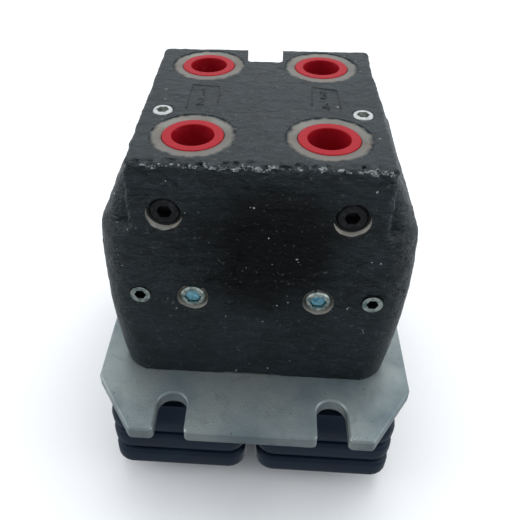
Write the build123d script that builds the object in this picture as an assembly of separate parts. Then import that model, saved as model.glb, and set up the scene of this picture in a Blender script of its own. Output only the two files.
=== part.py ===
"""Foot pilot valve, two sections: a cast body with four capped ports on top, an aluminium
mounting flange, and two rockers under rubber boots. It is stored ports up, and stands on the
two pedal plates. Millimetres, +Z up, +X right, the plugged face towards -Y. The origin is on
the standing surface, midway between the sections and midway between the port rows."""
import math
import os
from build123d import *

# Pedal plates and boots, upwards from the standing surface
plate_thick = 8.0
plate_width = 33.6
plate_length = 92.0
plate_corner = 6.0
boot_height = 36.0
boot_width = 53.6
boot_length = 131.0
boot_corner = 7.0
boot_wall = 2.0
boot_floor = 2.4
boot_fold = 3.6
boot_lip_inset = 3.0
boot_lip_wall = 2.3
boot_gap = 4.0
soft_gap = 0.05

# Mounting flange with its boot collars and shaft lugs
flange_thick = 5.5
flange_half_width = 58.5
flange_half_length = 80.3
flange_side_half = 57.5
flange_end_half = 43.0
flange_corner = 1.8
flange_edge = 0.6
slot_x = 29.0
slot_width = 11.0
slot_reach = 16.6
collar_height = 8.0
collar_wall = 3.0
collar_show = 5.0
lug_thick = 5.4
lug_radius = 10.0
lug_gap = 24.8

# Shafts, rockers and adjusting screws
pivot_drop = 20.0
shaft_radius = 6.0
shaft_clearance = 0.03
bush_wall = 1.5
bush_length = 9.0
press_clearance = 0.01
hub_radius = 12.0
rocker_side_gap = 0.4
rocker_base_thick = 4.0
rocker_base_length = 96.0
boss_radius = 8.2
boss_height = 8.0
lash = 0.1
adjuster_radius = 4.0
adjuster_length = 11.6
adjuster_hex = 4.0
nut_flats = 13.0
nut_height = 3.4
pedal_hole_radius = 3.4
pedal_hole_depth = 6.5
pedal_hole_x = 10.0
pedal_hole_y = 17.0
plate_screw_radius = 3.0
plate_screw_head = 5.8
plate_screw_set_back = 0.3
plate_screw_rim = 0.3
sink_clearance = 0.2
plate_screw_hex = 4.0
plate_screw_socket = 2.3
plate_screw_x = 10.0
plate_screw_y = 38.0

# Valve body
body_height = 89.5
body_half_width = 43.1
body_front = 47.7
body_back = 46.2
face_lean = 4.0
body_edge = 2.5
top_edge = 2.2
base_half_width = 50.3
belly_half_width = 55.1
belly_drop = 45.0
shoulder_half_width = 54.2
shoulder_drop = 25.0
shoulder_edge = 3.0
lower_corner = 12.0
flare_start = 3.0
flare_setback = 4.0
flare_corner = 10.0
flare_spring = 30.0
flare_inset = 0.1
notch_width = 14.6
notch_depth = 13.6
notch_drop = 30.0
notch_run_out = 50.0
notch_corner = 2.0
relief_width = 22.0
relief_height = 0.8
relief_depth = 9.0

# Ports, bores and galleries
port_x = 22.4
port_y = 28.35
port_radius = 8.33
port_depth = 17.0
spot_radius = 14.5
spot_depth = 0.3
recess_radius = 10.6
recess_depth = 1.0
chamber_radius = 12.0
chamber_depth = 43.5
spool_radius = 4.48
spool_clearance = 0.02
groove_radius = 7.0
groove_width = 5.0
gallery_radius = 3.0
supply_drop = 31.0
tank_drop = 52.2
back_port_depth = 13.0
supply_port_x = -22.4
tank_port_x = 0.0
tank_port_drop = 69.0
back_flat_reach = 9.0

# Caps, plugs and set screws
cap_rim_radius = 10.3
cap_rim_thick = 1.2
cap_bore_radius = 7.15
cap_clearance = 0.13
cap_length = 13.0
cap_floor = 2.2
cap_edge = 0.4
plug_x = 30.3
plug_drop = 18.4
plug_radius = 5.1
plug_length = 9.0
plug_recess = 2.0
plug_seat_radius = 6.0
plug_seal_radius = 0.43
plug_hex = 4.6
sealed_x = 21.9
sealed_drop = 52.2
sealed_radius = 4.35
sealed_length = 7.0
sealed_recess = 0.25
sealed_seat_radius = 5.45
sealed_seat_depth = 1.0
sealed_hex = 5.4
compound_thick = 2.2
small_x = 40.5
small_drop = 52.0
small_radius = 3.55
small_length = 8.0
small_hex = 3.7
top_screw_x = 35.0
top_screw_y = -11.3
top_screw_radius = 3.75
top_screw_length = 8.0
top_screw_hex = 4.0
socket_depth = 3.2
thread_clearance = 0.02
edge_break = 0.6
fine_break = 0.5

# Rod guides, push rods, springs and spools
guide_height = 11.5
guide_nose_radius = 8.0
guide_nose_drop = 2.0
guide_clearance = 0.05
rod_radius = 5.0
rod_tip_radius = 6.0
rod_clearance = 0.03
rod_collar_radius = 8.0
rod_collar_height = 5.5
rod_stroke = 6.24
stop_clearance = 0.3
rod_recess_radius = 3.6
rod_recess_depth = 16.0
seal_height = 2.6
seal_radius = 7.0
ring_section = 0.74
seat_radius = 11.0
seat_thick = 3.0
seat_bore_radius = 2.7
return_wire = 2.0
return_radius = 9.3
return_turns = 3.5
metering_wire = 1.2
metering_radius = 4.6
metering_turns = 4
spool_neck_radius = 2.3
spool_head_radius = 3.2
spool_head_height = 3.8
spool_collar_radius = 5.6
spool_collar_height = 2.0
spool_stroke = 1.3
seat_spool_gap = 5.2

# Screws that hold the flange to the body
cover_screw_x = 40.0
cover_screw_y = 44.0
cover_screw_radius = 4.0
cover_head_radius = 6.5
cover_head_height = 7.6
cover_screw_length = 16.0
cover_hex = 6.0
cover_hole_clearance = 0.4
cover_thread_spare = 1.0
lock_screw_radius = 2.5
lock_screw_hex = 2.5
lock_screw_socket = 1.5

# Levels and places worked out from the sizes above
boot_top = plate_thick + boot_height
flange_under = boot_top + collar_show
flange_top = flange_under + flange_thick
body_top = flange_top + body_height
pivot_z = flange_under - pivot_drop
section_x = (boot_gap + boot_width) / 2
lean_slope = math.tan(math.radians(face_lean))
chamber_top = flange_top + chamber_depth
port_floor = body_top - port_depth
guide_top = flange_top + guide_height
rod_shoulder = guide_top + rod_stroke + stop_clearance
rod_top = rod_shoulder + rod_collar_height
seat_top = rod_top + seat_thick
spool_collar_z = chamber_top - spool_stroke - stop_clearance - spool_collar_height
spool_head_top = rod_top - seat_spool_gap
bore_radius = spool_radius + spool_clearance
rocker_base = plate_thick + boot_floor + 2 * soft_gap
adjuster_top = pivot_z - rod_tip_radius - lash
cone_low = plate_screw_set_back + plate_screw_rim
port_places = [(sx * port_x, sy * port_y) for sx in (-1, 1) for sy in (-1, 1)]
sides = {"left": -1, "right": 1}
rows = {"front": -1, "rear": 1}


def cylinder(radius, low, high, x=0.0, y=0.0):
    """An upright cylinder between two heights."""
    return Pos(x, y, low) * Cylinder(radius, high - low, align=(Align.CENTER, Align.CENTER, Align.MIN))


def rod_along_y(radius, y_low, y_high, x, z):
    """A cylinder along Y between two values of y."""
    length = y_high - y_low
    return Pos(x, (y_low + y_high) / 2, z) * Rot(90, 0, 0) * Cylinder(radius, length)


def rod_along_x(radius, x_low, x_high, y, z):
    """A cylinder along X between two values of x."""
    length = x_high - x_low
    return Pos((x_low + x_high) / 2, y, z) * Rot(0, 90, 0) * Cylinder(radius, length)


def box(x_low, x_high, y_low, y_high, z_low, z_high):
    """A box between two corners."""
    centre = ((x_low + x_high) / 2, (y_low + y_high) / 2, (z_low + z_high) / 2)
    return Pos(*centre) * Box(x_high - x_low, y_high - y_low, z_high - z_low)


def rounded_slab(width, length, corner, low, high, x=0.0, y=0.0):
    """An upright prism with a rounded rectangular plan."""
    return extrude(Pos(x, y, low) * RectangleRounded(width, length, corner), high - low)


def hexagon(flats, low, high, x=0.0, y=0.0):
    """An upright hexagonal prism, with its size across flats."""
    return extrude(Pos(x, y, low) * RegularPolygon(flats / 2, 6, major_radius=False), high - low)


def tube(outer, inner, low, high, x=0.0, y=0.0):
    """An upright tube."""
    return cylinder(outer, low, high, x, y) - cylinder(inner, low - 1, high + 1, x, y)


def front_y(height):
    """The plugged face at a height: it leans out downwards."""
    return -(body_front + lean_slope * (body_top - height))


def back_y(height):
    """The rear face at a height."""
    return body_back + lean_slope * (body_top - height)


def helix_spring(mean_radius, wire, low, high, turns, x, y):
    """A round-wire coil between two heights, with the wire clear of both."""
    rise = high - low - wire
    path = Helix(rise / turns, rise, mean_radius)
    section = Plane(path @ 0, z_dir=path % 0) * Circle(wire / 2)
    return Pos(x, y, low + wire / 2) * sweep(section, path, is_frenet=True)


def set_screw_along_y(radius, length, hex_flats, depth, x, z, face_y):
    """A socket set screw whose face looks towards -Y."""
    screw = rod_along_y(radius, face_y, face_y + length, x, z)
    socket = Pos(x, face_y, z) * Rot(90, 0, 0) * hexagon(hex_flats, -depth, 1)
    return screw - socket


def body_blank():
    """The casting before machining: leaning end faces, a belly, flared shoulders and a neck."""
    width = 2 * belly_half_width + 20
    ends = Polyline(
        (front_y(flange_top), flange_top),
        (back_y(flange_top), flange_top),
        (back_y(body_top), body_top),
        (front_y(body_top), body_top),
        close=True,
    )
    slab = extrude(Plane.YZ * make_face(ends), width / 2, both=True)

    shoulder_z = body_top - shoulder_drop
    belly_z = body_top - belly_drop
    half_line = Spline(
        (base_half_width, flange_top), (belly_half_width, belly_z), (shoulder_half_width, shoulder_z)
    )
    outline = make_face(
        Curve() + [
            half_line,
            mirror(half_line, Plane.YZ),
            Line((-base_half_width, flange_top), (base_half_width, flange_top)),
            Line((-shoulder_half_width, shoulder_z), (shoulder_half_width, shoulder_z)),
        ]
    )
    lower = slab & extrude(Plane.XZ * outline, body_front + body_back, both=True)
    corners = [
        edge for edge in lower.edges()
        if abs(edge.center().X) > body_half_width and edge.bounding_box().size.Z > body_height / 3
    ]
    lower = fillet(corners, lower_corner)
    lower = fillet(lower.faces().sort_by(Axis.Z)[-1].edges(), shoulder_edge)

    neck_low = shoulder_z - lower_corner
    neck = slab & box(-body_half_width, body_half_width, -width, width, neck_low, body_top)
    corners = [
        edge for edge in neck.edges()
        if edge.bounding_box().size.Z > shoulder_drop / 2 and abs(edge.center().X) > body_half_width / 2
    ]
    neck = fillet(corners, body_edge)
    rim = [
        edge for edge in neck.edges().group_by(Axis.Z)[-1]
        if edge.bounding_box().size.X > body_half_width
    ]
    neck = fillet(rim, top_edge)

    # The flare springs from part way round the shoulder's rounded edge, so that no groove is left
    spring = math.radians(flare_spring)
    foot_z = shoulder_z - shoulder_edge * (1 - math.sin(spring))
    foot_half = shoulder_half_width - shoulder_edge * (1 - math.cos(spring)) - flare_inset
    flare_z = body_top - flare_start
    middle = (back_y(shoulder_z) + front_y(shoulder_z)) / 2
    foot_length = back_y(shoulder_z) - front_y(shoulder_z) - 2 * flare_setback
    head_length = back_y(flare_z) - front_y(flare_z) - 2 * flare_setback
    foot = Pos(0, middle, foot_z) * RectangleRounded(2 * foot_half, foot_length, flare_corner)
    head_half = body_half_width - flare_inset
    head = Pos(0, middle, flare_z) * RectangleRounded(2 * head_half, head_length, body_edge)
    flare = loft([foot, head], ruled=True)
    return lower + flare + neck


def rear_notch():
    """The channel down the rear face, which runs out below."""
    deep = back_y(body_top) - notch_depth
    clear = back_y(flange_top) + 5
    side = Polyline(
        (deep, body_top + 1),
        (deep, body_top - notch_drop),
        (clear, body_top - notch_run_out - (clear - back_y(body_top - notch_run_out))),
        (clear, body_top + 1),
        close=True,
    )
    channel = extrude(Plane.YZ * make_face(side), notch_width / 2, both=True)
    inner = [
        edge for edge in channel.edges().filter_by(Axis.Z) if edge.center().Y < deep + 0.1
    ]
    return fillet(inner, notch_corner)


def working_bores():
    """The four bores: spring chamber, spool bore with its supply groove, and port."""
    cuts = []
    groove_z = body_top - supply_drop
    for x, y in port_places:
        cuts.append(cylinder(chamber_radius, flange_top - 1, chamber_top, x, y))
        cuts.append(cylinder(bore_radius, chamber_top - 1, port_floor + 1, x, y))
        cuts.append(cylinder(groove_radius, groove_z - groove_width / 2, groove_z + groove_width / 2, x, y))
        cuts.append(cylinder(port_radius, port_floor, body_top + 1, x, y))
        cuts.append(cylinder(recess_radius, body_top - spot_depth - recess_depth, body_top + 1, x, y))
        cuts.append(cylinder(spot_radius, body_top - spot_depth, body_top + 1, x, y))
    return cuts


def galleries():
    """Drilled and cored passages, with the seats of the plugs that close them."""
    cuts = []
    supply_z = body_top - supply_drop
    tank_z = body_top - tank_drop
    for side in sides.values():
        x = side * plug_x
        z = body_top - plug_drop
        face = front_y(z) + plug_recess
        seat = face + 3 * plug_seal_radius
        cuts.append(rod_along_y(plug_seat_radius, front_y(z) - 5, seat, x, z))
        cuts.append(rod_along_y(plug_radius + thread_clearance, seat - 1, face + plug_length, x, z))
        cuts.append(rod_along_y(gallery_radius, seat, -port_y / 2, x, z))

        x = side * sealed_x
        z = body_top - sealed_drop
        face = front_y(z) + sealed_recess
        cuts.append(rod_along_y(sealed_seat_radius, front_y(z) - 5, front_y(z) + sealed_seat_depth, x, z))
        cuts.append(rod_along_y(sealed_radius + thread_clearance, front_y(z), face + sealed_length, x, z))
        cuts.append(rod_along_y(gallery_radius, face, port_y, x, z))

        x = side * small_x
        z = body_top - small_drop
        cuts.append(rod_along_y(small_radius + thread_clearance, front_y(z) - 2, front_y(z) + small_length, x, z))
        cuts.append(rod_along_y(gallery_radius, front_y(z), port_y, x, z))

        x = side * top_screw_x
        low = body_top - small_drop
        cuts.append(cylinder(top_screw_radius + thread_clearance, body_top - top_screw_length,
                             body_top + 1, x, top_screw_y))
        cuts.append(cylinder(gallery_radius, low, body_top, x, top_screw_y))
        cuts.append(rod_along_y(gallery_radius, -port_y, port_y, side * port_x, supply_z))

    cuts.append(rod_along_x(gallery_radius, -port_x, port_x, 0, supply_z))
    cuts.append(rod_along_x(gallery_radius, -sealed_x, sealed_x, 0, tank_z))
    tank_port_z = body_top - tank_port_drop
    for x, z, inner in ((supply_port_x, supply_z, port_y), (tank_port_x, tank_port_z, 0)):
        flat = back_y(z + spot_radius) - spot_depth
        cuts.append(rod_along_y(spot_radius, flat, flat + back_flat_reach, x, z))
        cuts.append(rod_along_y(port_radius, flat - back_port_depth, flat + 1, x, z))
        cuts.append(rod_along_y(gallery_radius, inner, flat, x, z))
    cuts.append(cylinder(gallery_radius, tank_port_z, tank_z, tank_port_x, 0))
    return cuts


def valve_body():
    """The machined casting."""
    cuts = [rear_notch()] + working_bores() + galleries()
    for sx in (-1, 1):
        for sy in (-1, 1):
            cuts.append(cylinder(cover_screw_radius + thread_clearance, flange_top - 1,
                                 flange_top + cover_screw_length, sx * cover_screw_x, sy * cover_screw_y))
    front = front_y(flange_top)
    cuts.append(box(-relief_width / 2, relief_width / 2, front - 2, front + relief_depth,
                    flange_top - 1, flange_top + relief_height))
    return body_blank() - cuts


def port_cap(x, y):
    """A moulded plug with a flat rim, open at the top."""
    seat = body_top - spot_depth - recess_depth
    low = seat - cap_length
    top = seat + cap_rim_thick
    shell = cylinder(port_radius - cap_clearance, low, top, x, y) + cylinder(cap_rim_radius, seat, top, x, y)
    shell = shell - cylinder(cap_bore_radius, low + cap_floor, top + 1, x, y)
    rims = [
        edge for edge in shell.edges().filter_by(GeomType.CIRCLE).group_by(Axis.Z)[-1]
    ]
    return fillet(rims, cap_edge)


def top_gallery_screws():
    """Two socket set screws, flush with the port face."""
    screws = []
    for side in sides.values():
        x = side * top_screw_x
        screw = cylinder(top_screw_radius, body_top - top_screw_length, body_top, x, top_screw_y)
        screw = chamfer(screw.edges().group_by(Axis.Z)[-1], fine_break)
        screws.append(screw - hexagon(top_screw_hex, body_top - socket_depth, body_top + 1, x, top_screw_y))
    return screws


def gallery_plugs():
    """Two black socket plugs, set back in machined seats."""
    plugs = []
    for side in sides.values():
        z = body_top - plug_drop
        face = front_y(z) + plug_recess
        plug = rod_along_y(plug_radius, face, face + plug_length, side * plug_x, z)
        plug = chamfer(plug.edges().group_by(Axis.Y)[0], edge_break)
        socket = Pos(side * plug_x, face, z) * Rot(90, 0, 0) * hexagon(plug_hex, -socket_depth, 1)
        plugs.append(plug - socket)
    return plugs


def gallery_plug_seals():
    """The O-ring at the foot of each black plug's seat."""
    rings = []
    for side in sides.values():
        z = body_top - plug_drop
        y = front_y(z) + plug_recess + 2 * plug_seal_radius
        middle = (plug_radius + plug_seat_radius) / 2
        rings.append(Pos(side * plug_x, y, z) * Rot(90, 0, 0) * Torus(middle, plug_seal_radius))
    return rings


def sealed_plugs():
    """Two plated plugs whose sockets are filled after setting."""
    plugs = []
    for side in sides.values():
        z = body_top - sealed_drop
        face = front_y(z) + sealed_recess
        plug = rod_along_y(sealed_radius, face, face + sealed_length, side * sealed_x, z)
        plug = chamfer(plug.edges().group_by(Axis.Y)[0], fine_break)
        socket = Pos(side * sealed_x, face, z) * Rot(90, 0, 0) * hexagon(sealed_hex, -socket_depth, 1)
        plugs.append(plug - socket)
    return plugs


def sealing_compound():
    """The compound that fills the sockets of the sealed plugs."""
    fills = []
    for side in sides.values():
        z = body_top - sealed_drop
        floor = front_y(z) + sealed_recess + socket_depth
        fill = hexagon(sealed_hex - 2 * thread_clearance, 0, compound_thick)
        fill = fillet(fill.faces().sort_by(Axis.Z)[-1].edges(), fine_break)
        fills.append(Pos(side * sealed_x, floor, z) * Rot(90, 0, 0) * fill)
    return fills


def small_gallery_screws():
    """Two small set screws, flush with the plugged face."""
    screws = []
    for side in sides.values():
        z = body_top - small_drop
        screw = set_screw_along_y(small_radius, small_length, small_hex, socket_depth,
                                  side * small_x, z, front_y(z))
        screws.append(screw)
    return screws


def mounting_flange():
    """The aluminium cover: slotted plate, two boot collars and four shaft lugs."""
    corner = (flange_half_width, flange_side_half)
    end = (flange_end_half, flange_half_length)
    plan = Polyline(
        (corner[0], -corner[1]), (corner[0], corner[1]), (end[0], end[1]), (-end[0], end[1]),
        (-corner[0], corner[1]), (-corner[0], -corner[1]), (-end[0], -end[1]), (end[0], -end[1]),
        close=True,
    )
    plate = extrude(Pos(0, 0, flange_under) * make_face(plan), flange_thick)
    slot_end = flange_half_length - slot_reach + slot_width / 2
    for sx in (-1, 1):
        for sy in (-1, 1):
            x = sx * slot_x
            y_in, y_out = sorted((sy * slot_end, sy * (flange_half_length + 5)))
            plate -= box(x - slot_width / 2, x + slot_width / 2, y_in, y_out, flange_under - 1, flange_top + 1)
            plate -= cylinder(slot_width / 2, flange_under - 1, flange_top + 1, x, sy * slot_end)
    outer = [
        edge for edge in plate.edges().filter_by(Axis.Z)
        if abs(edge.center().Y) > flange_side_half - 1
        and (abs(edge.center().X) > flange_end_half - 1 or abs(edge.center().Y) > flange_half_length - 1)
    ]
    plate = fillet(outer, flange_corner)
    rims = [edge for edge in plate.edges() if edge.bounding_box().size.Z < flange_thick / 2]
    plate = chamfer(rims, flange_edge)

    lip = boot_lip_inset + boot_lip_wall + 2 * soft_gap
    for side in sides.values():
        x = side * section_x
        width, length = boot_width - 2 * lip, boot_length - 2 * lip
        corner_out = boot_corner - boot_lip_inset
        collar = rounded_slab(width, length, corner_out, flange_under - collar_height, flange_under, x)
        collar -= rounded_slab(width - 2 * collar_wall, length - 2 * collar_wall, corner_out - 2,
                               flange_under - collar_height - 1, flange_under, x)
        plate += collar
        for hand in (-1, 1):
            near = x + hand * lug_gap / 2
            far = near + hand * lug_thick
            low_x, high_x = min(near, far), max(near, far)
            plate += box(low_x, high_x, -lug_radius, lug_radius, pivot_z, flange_under)
            plate += rod_along_x(lug_radius, low_x, high_x, 0, pivot_z)
        plate -= rod_along_x(shaft_radius + press_clearance, x - lug_gap, x + lug_gap, 0, pivot_z)
        plate -= cylinder(lock_screw_radius + thread_clearance, pivot_z - lug_radius - 1, pivot_z,
                          x + side * (lug_gap + lug_thick) / 2, 0)
        for sy in (-1, 1):
            plate -= cylinder(cover_screw_radius + cover_hole_clearance, flange_under - 1, flange_top + 1,
                              side * cover_screw_x, sy * cover_screw_y)
    for x, y in port_places:
        plate -= cylinder(guide_nose_radius + guide_clearance, flange_under - 1, flange_top + 1, x, y)
    return plate


def flange_screws():
    """Four socket-head screws, driven up through the flange into the body."""
    screws = []
    for sx in (-1, 1):
        for sy in (-1, 1):
            x, y = sx * cover_screw_x, sy * cover_screw_y
            head = cylinder(cover_head_radius, flange_under - cover_head_height, flange_under, x, y)
            head = chamfer(head.edges().group_by(Axis.Z)[0], edge_break)
            shank_top = flange_top + cover_screw_length - cover_thread_spare
            shank = cylinder(cover_screw_radius, flange_under, shank_top, x, y)
            socket = hexagon(cover_hex, flange_under - cover_head_height - 1,
                             flange_under - cover_head_height / 2, x, y)
            screws.append(head + shank - socket)
    return screws


def rod_guides():
    """Four turned guides: a flanged body in the chamber and a nose through the flange."""
    guides = []
    groove_z = flange_top + guide_height / 2
    nose_low = flange_under - guide_nose_drop
    for x, y in port_places:
        guide = cylinder(chamber_radius - guide_clearance, flange_top, guide_top, x, y)
        guide += cylinder(guide_nose_radius, nose_low, flange_top, x, y)
        guide -= cylinder(rod_radius + rod_clearance, nose_low - 1, guide_top + 1, x, y)
        guide -= cylinder(seal_radius, nose_low - 1, nose_low + seal_height, x, y)
        guide -= tube(chamber_radius + 1, chamber_radius - 2 * ring_section - thread_clearance,
                      groove_z - 1.2 * ring_section, groove_z + 1.2 * ring_section, x, y)
        guides.append(guide)
    return guides


def guide_o_rings():
    """The O-ring round each guide."""
    groove_z = flange_top + guide_height / 2
    middle = chamber_radius - ring_section - thread_clearance / 2
    return [Pos(x, y, groove_z) * Torus(middle, ring_section) for x, y in port_places]


def rod_seals():
    """The lip seal in each guide's nose."""
    low = flange_under - guide_nose_drop
    return [
        tube(seal_radius - press_clearance, rod_radius + rod_clearance, low + 0.2, low + seal_height, x, y)
        for x, y in port_places
    ]


def push_rod(x, y):
    """A rod with a round tip below, and a collar with a blind recess for the spool's head."""
    tip_centre = pivot_z
    rod = cylinder(rod_radius, tip_centre, rod_shoulder, x, y)
    tip = Pos(x, y, tip_centre) * Sphere(rod_tip_radius)
    rod += tip & cylinder(rod_radius, tip_centre - rod_tip_radius - 1, tip_centre + 1, x, y)
    rod += cylinder(rod_collar_radius, rod_shoulder, rod_top, x, y)
    return rod - cylinder(rod_recess_radius, rod_top - rod_recess_depth, rod_top + 1, x, y)


def spring_seat(x, y):
    """The disc that both springs stand on."""
    seat = tube(seat_radius, seat_bore_radius, rod_top, seat_top, x, y)
    return chamfer(seat.edges().group_by(Axis.Z)[-1].sort_by(SortBy.LENGTH)[-1], edge_break)


def spool(x, y):
    """A metering spool: head, neck, spring collar, and a grooved land with a cross hole."""
    groove_z = body_top - supply_drop
    shape = cylinder(spool_head_radius, spool_head_top - spool_head_height, spool_head_top, x, y)
    shape += cylinder(spool_neck_radius, spool_head_top, spool_collar_z, x, y)
    shape += cylinder(spool_collar_radius, spool_collar_z, spool_collar_z + spool_collar_height, x, y)
    top = port_floor - spool_stroke - stop_clearance
    shape += cylinder(spool_radius, spool_collar_z + spool_collar_height, top, x, y)
    shape -= tube(spool_radius + 1, spool_radius - 1, groove_z - 2, groove_z + 1.2, x, y)
    shape -= cylinder(spool_radius - 2.5, groove_z - 7, top + 1, x, y)
    return shape - rod_along_x(1.0, x - spool_radius - 1, x + spool_radius + 1, y, groove_z - 5)


def shaft(side):
    """The pin that a rocker turns on, held in the flange's lugs."""
    x = side * section_x
    half = lug_gap / 2 + lug_thick
    pin = rod_along_x(shaft_radius, x - half, x + half, 0, pivot_z)
    return chamfer(pin.edges().filter_by(GeomType.CIRCLE), edge_break)


def shaft_lock_screws():
    """A set screw under each outer lug, tight on the shaft."""
    screws = []
    for side in sides.values():
        x = side * section_x + side * (lug_gap + lug_thick) / 2
        low = pivot_z - lug_radius
        screw = cylinder(lock_screw_radius, low, pivot_z - shaft_radius - press_clearance, x, 0)
        screws.append(screw - hexagon(lock_screw_hex, low - 1, low + lock_screw_socket, x, 0))
    return screws


def rocker(side):
    """The rocker: base plate, hub with ribbed arms, and a tapped boss under each push rod."""
    x = side * section_x
    low_x, high_x = x - lug_gap / 2 + rocker_side_gap, x + lug_gap / 2 - rocker_side_gap
    base_top = rocker_base + rocker_base_thick
    boss_top = rocker_base + boss_height
    base = rounded_slab(plate_width, rocker_base_length, plate_corner, rocker_base, base_top, x)
    tangent = hub_radius * 0.7
    profile = Polyline(
        (-rocker_base_length / 2 + plate_corner, rocker_base),
        (rocker_base_length / 2 - plate_corner, rocker_base),
        (rocker_base_length / 2 - plate_corner, base_top),
        (port_y + boss_radius, boss_top),
        (port_y - boss_radius, boss_top),
        (tangent, pivot_z + tangent),
        (-tangent, pivot_z + tangent),
        (-port_y + boss_radius, boss_top),
        (-port_y - boss_radius, boss_top),
        (-rocker_base_length / 2 + plate_corner, base_top),
        close=True,
    )
    arms = Pos(low_x, 0, 0) * extrude(Plane.YZ * make_face(profile), high_x - low_x)
    arms += rod_along_x(hub_radius, low_x, high_x, 0, pivot_z)
    body = base + arms
    for sy in (-1, 1):
        body += cylinder(boss_radius, rocker_base, boss_top, side * port_x, sy * port_y)
    body -= rod_along_x(shaft_radius + shaft_clearance + bush_wall, low_x - 1, high_x + 1, 0, pivot_z)
    for sy in (-1, 1):
        body -= cylinder(adjuster_radius + thread_clearance, rocker_base - 1, boss_top + 1,
                         side * port_x, sy * port_y)
        for sx in (-1, 1):
            body -= cylinder(plate_screw_radius + thread_clearance, rocker_base - 1, base_top + 20,
                             x + sx * plate_screw_x, sy * plate_screw_y)
    return body


def rocker_bushes(side):
    """Two plain bushes pressed into the hub."""
    x = side * section_x
    half = lug_gap / 2 - rocker_side_gap
    outer = shaft_radius + shaft_clearance + bush_wall - press_clearance
    inner = shaft_radius + shaft_clearance
    bushes = []
    for start in (x - half, x + half - bush_length):
        ring = rod_along_x(outer, start, start + bush_length, 0, pivot_z)
        bushes.append(ring - rod_along_x(inner, start - 1, start + bush_length + 1, 0, pivot_z))
    return bushes


def adjusting_screws(side):
    """The ground set screws that meet the push rods."""
    screws = []
    for sy in (-1, 1):
        x, y = side * port_x, sy * port_y
        low = adjuster_top - adjuster_length
        screw = cylinder(adjuster_radius, low, adjuster_top, x, y)
        screws.append(screw - hexagon(adjuster_hex, low - 1, low + socket_depth, x, y))
    return screws


def lock_nuts(side):
    """The thin nut that locks each adjusting screw on its boss."""
    low = rocker_base + boss_height
    nuts = []
    for sy in (-1, 1):
        x, y = side * port_x, sy * port_y
        nut = hexagon(nut_flats, low, low + nut_height, x, y)
        nuts.append(nut - cylinder(adjuster_radius + thread_clearance, low - 1, low + nut_height + 1, x, y))
    return nuts


def pedal_plate(side):
    """The plate under the boot, with four tapped holes for a pedal."""
    x = side * section_x
    plate = rounded_slab(plate_width, plate_length, plate_corner, 0, plate_thick, x)
    plate = chamfer(plate.edges().group_by(Axis.Z)[0], edge_break)
    for sx in (-1, 1):
        for sy in (-1, 1):
            hole_x, hole_y = x + sx * pedal_hole_x, sy * pedal_hole_y
            plate -= cylinder(pedal_hole_radius, -1, pedal_hole_depth, hole_x, hole_y)
            hole_x, hole_y = x + sx * plate_screw_x, sy * plate_screw_y
            sink = plate_screw_head - plate_screw_radius
            hole_radius = plate_screw_radius + sink_clearance
            head_radius = plate_screw_head + sink_clearance
            plate -= cylinder(hole_radius, -1, plate_thick + 1, hole_x, hole_y)
            plate -= cylinder(head_radius, -1, cone_low, hole_x, hole_y)
            cone = Cone(head_radius, hole_radius, sink, align=(Align.CENTER, Align.CENTER, Align.MIN))
            plate -= Pos(hole_x, hole_y, cone_low) * cone
    return plate


def plate_screws(side):
    """Four countersunk screws through the pedal plate and the boot's floor."""
    screws = []
    sink = plate_screw_head - plate_screw_radius
    for sx in (-1, 1):
        for sy in (-1, 1):
            x, y = side * section_x + sx * plate_screw_x, sy * plate_screw_y
            screw = cylinder(plate_screw_radius, cone_low, rocker_base + rocker_base_thick, x, y)
            cone = Cone(plate_screw_head, plate_screw_radius, sink,
                        align=(Align.CENTER, Align.CENTER, Align.MIN))
            screw += Pos(x, y, cone_low) * cone
            screw += cylinder(plate_screw_head, plate_screw_set_back, cone_low, x, y)
            screws.append(screw - hexagon(plate_screw_hex, 0, plate_screw_set_back + plate_screw_socket, x, y))
    return screws


def boot_layers(inset_by_height, x):
    """Rounded rectangles for a boot's outer or inner surface, from heights and insets."""
    layers = []
    for height, inset in inset_by_height:
        corner = max(boot_corner - inset, 1.2)
        layer = RectangleRounded(boot_width - 2 * inset, boot_length - 2 * inset, corner)
        layers.append(Pos(x, 0, plate_thick + soft_gap + height) * layer)
    return layers


def boot(side):
    """A rectangular rubber bellows with three folds: lip at the collar, floor on the rocker."""
    x = side * section_x
    top = boot_height - soft_gap
    pitch = boot_height * 0.228
    outer = [(0, 5.0), (1.5, 2.0), (4.5, 0.9)]
    inner = [(boot_floor, 5.0 + boot_wall), (4.8, 1.0 + boot_wall)]
    for fold in (1, 2):
        valley = boot_height * 0.092 + fold * pitch
        outer += [(valley - 1.1, 0.7), (valley, boot_fold), (valley + 1.0, 0.7)]
        inner += [(valley - 1.8, 0.7 + boot_wall), (valley, boot_fold + boot_wall),
                  (valley + 1.8, 0.5 + boot_wall)]
    outer += [(top - 7.6, 0.0), (top - 3.0, boot_lip_inset - 0.8), (top, boot_lip_inset)]
    lip = boot_lip_inset + boot_lip_wall
    inner += [(top - 7.6, boot_wall), (top - 3.2, lip), (top + 1, lip)]
    shell = loft(boot_layers(outer, x), ruled=True) - loft(boot_layers(inner, x), ruled=True)
    for sx in (-1, 1):
        for sy in (-1, 1):
            shell -= cylinder(plate_screw_radius + 0.4, 0, plate_thick + boot_floor + 2,
                              x + sx * plate_screw_x, sy * plate_screw_y)
    return shell


def write(name, shape):
    """Write one node's solid, or its group of like solids."""
    if isinstance(shape, list):
        shape = Compound(children=shape)
    export_step(shape, os.path.join("parts", name + ".step"))


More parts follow.
